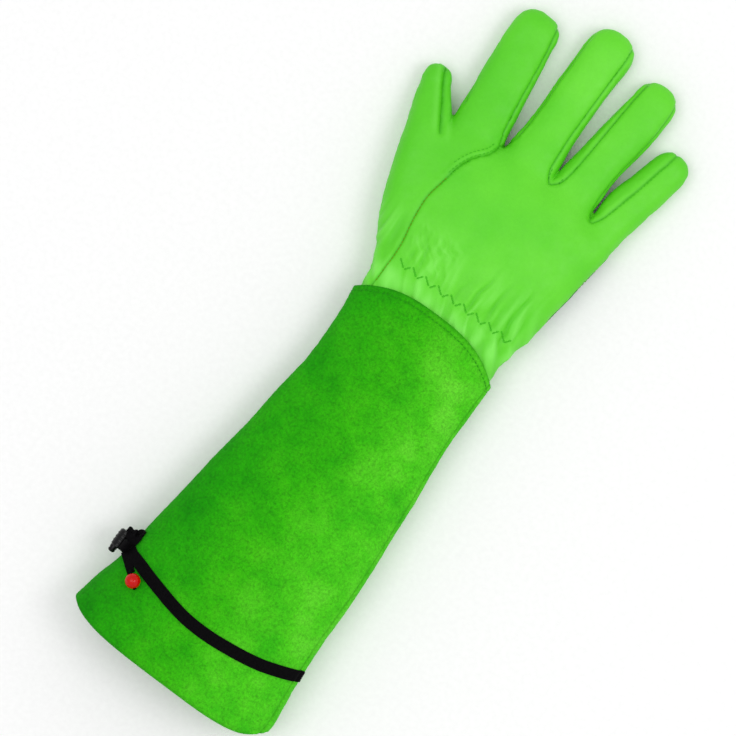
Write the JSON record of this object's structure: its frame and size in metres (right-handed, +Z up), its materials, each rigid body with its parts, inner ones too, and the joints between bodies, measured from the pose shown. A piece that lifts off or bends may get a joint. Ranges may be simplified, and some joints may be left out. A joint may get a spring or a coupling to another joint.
{
  "type": "rose pruning gauntlet",
  "caption": "Right-hand leather gardening gauntlet with a long suede forearm cuff, a gathered wrist, a palm patch and a webbing strap with a sprung lock and a bead.",
  "frame": {"origin": "on the flat underside of the cuff, on the line between the two corners of its hem", "axes": "+Y from the cuff's mouth to the fingertips, +X to the little finger, +Z up through the back of the hand"},
  "size_m": [0.1544, 0.4619, 0.0504],
  "materials": {
    "cuff_suede": "matt split suede, bright green",
    "hand_leather": "smooth soft grain leather, light green",
    "patch_suede": "matt suede, dark green",
    "webbing": "woven black tape",
    "bead_plastic": "glossy red",
    "lock_plastic": "satin black"
  },
  "bodies": {
    "gauntlet": {"cuff": "cuff_suede", "back_panel": "hand_leather", "index_thumb_panel": "hand_leather", "palm_panel": "hand_leather", "thumb_palm": "hand_leather", "fourchette_index_middle": "hand_leather", "fourchette_middle_ring": "hand_leather", "fourchette_ring_little": "hand_leather", "palm_patch": "patch_suede", "strap_band": "webbing", "strap_anchor": "webbing", "strap_tail": "webbing", "bead": "bead_plastic", "cord_lock_body": "lock_plastic"},
    "plunger": {"cord_lock_button": "lock_plastic"}
  },
  "joints": [
    {"name": "plunger_press", "type": "slide", "parent": "gauntlet", "child": "plunger", "axis": [0, 1, 0], "range_m": [0, 0.003], "stiffness_N_per_m": 600, "springref_m": -0.001}
  ]
}
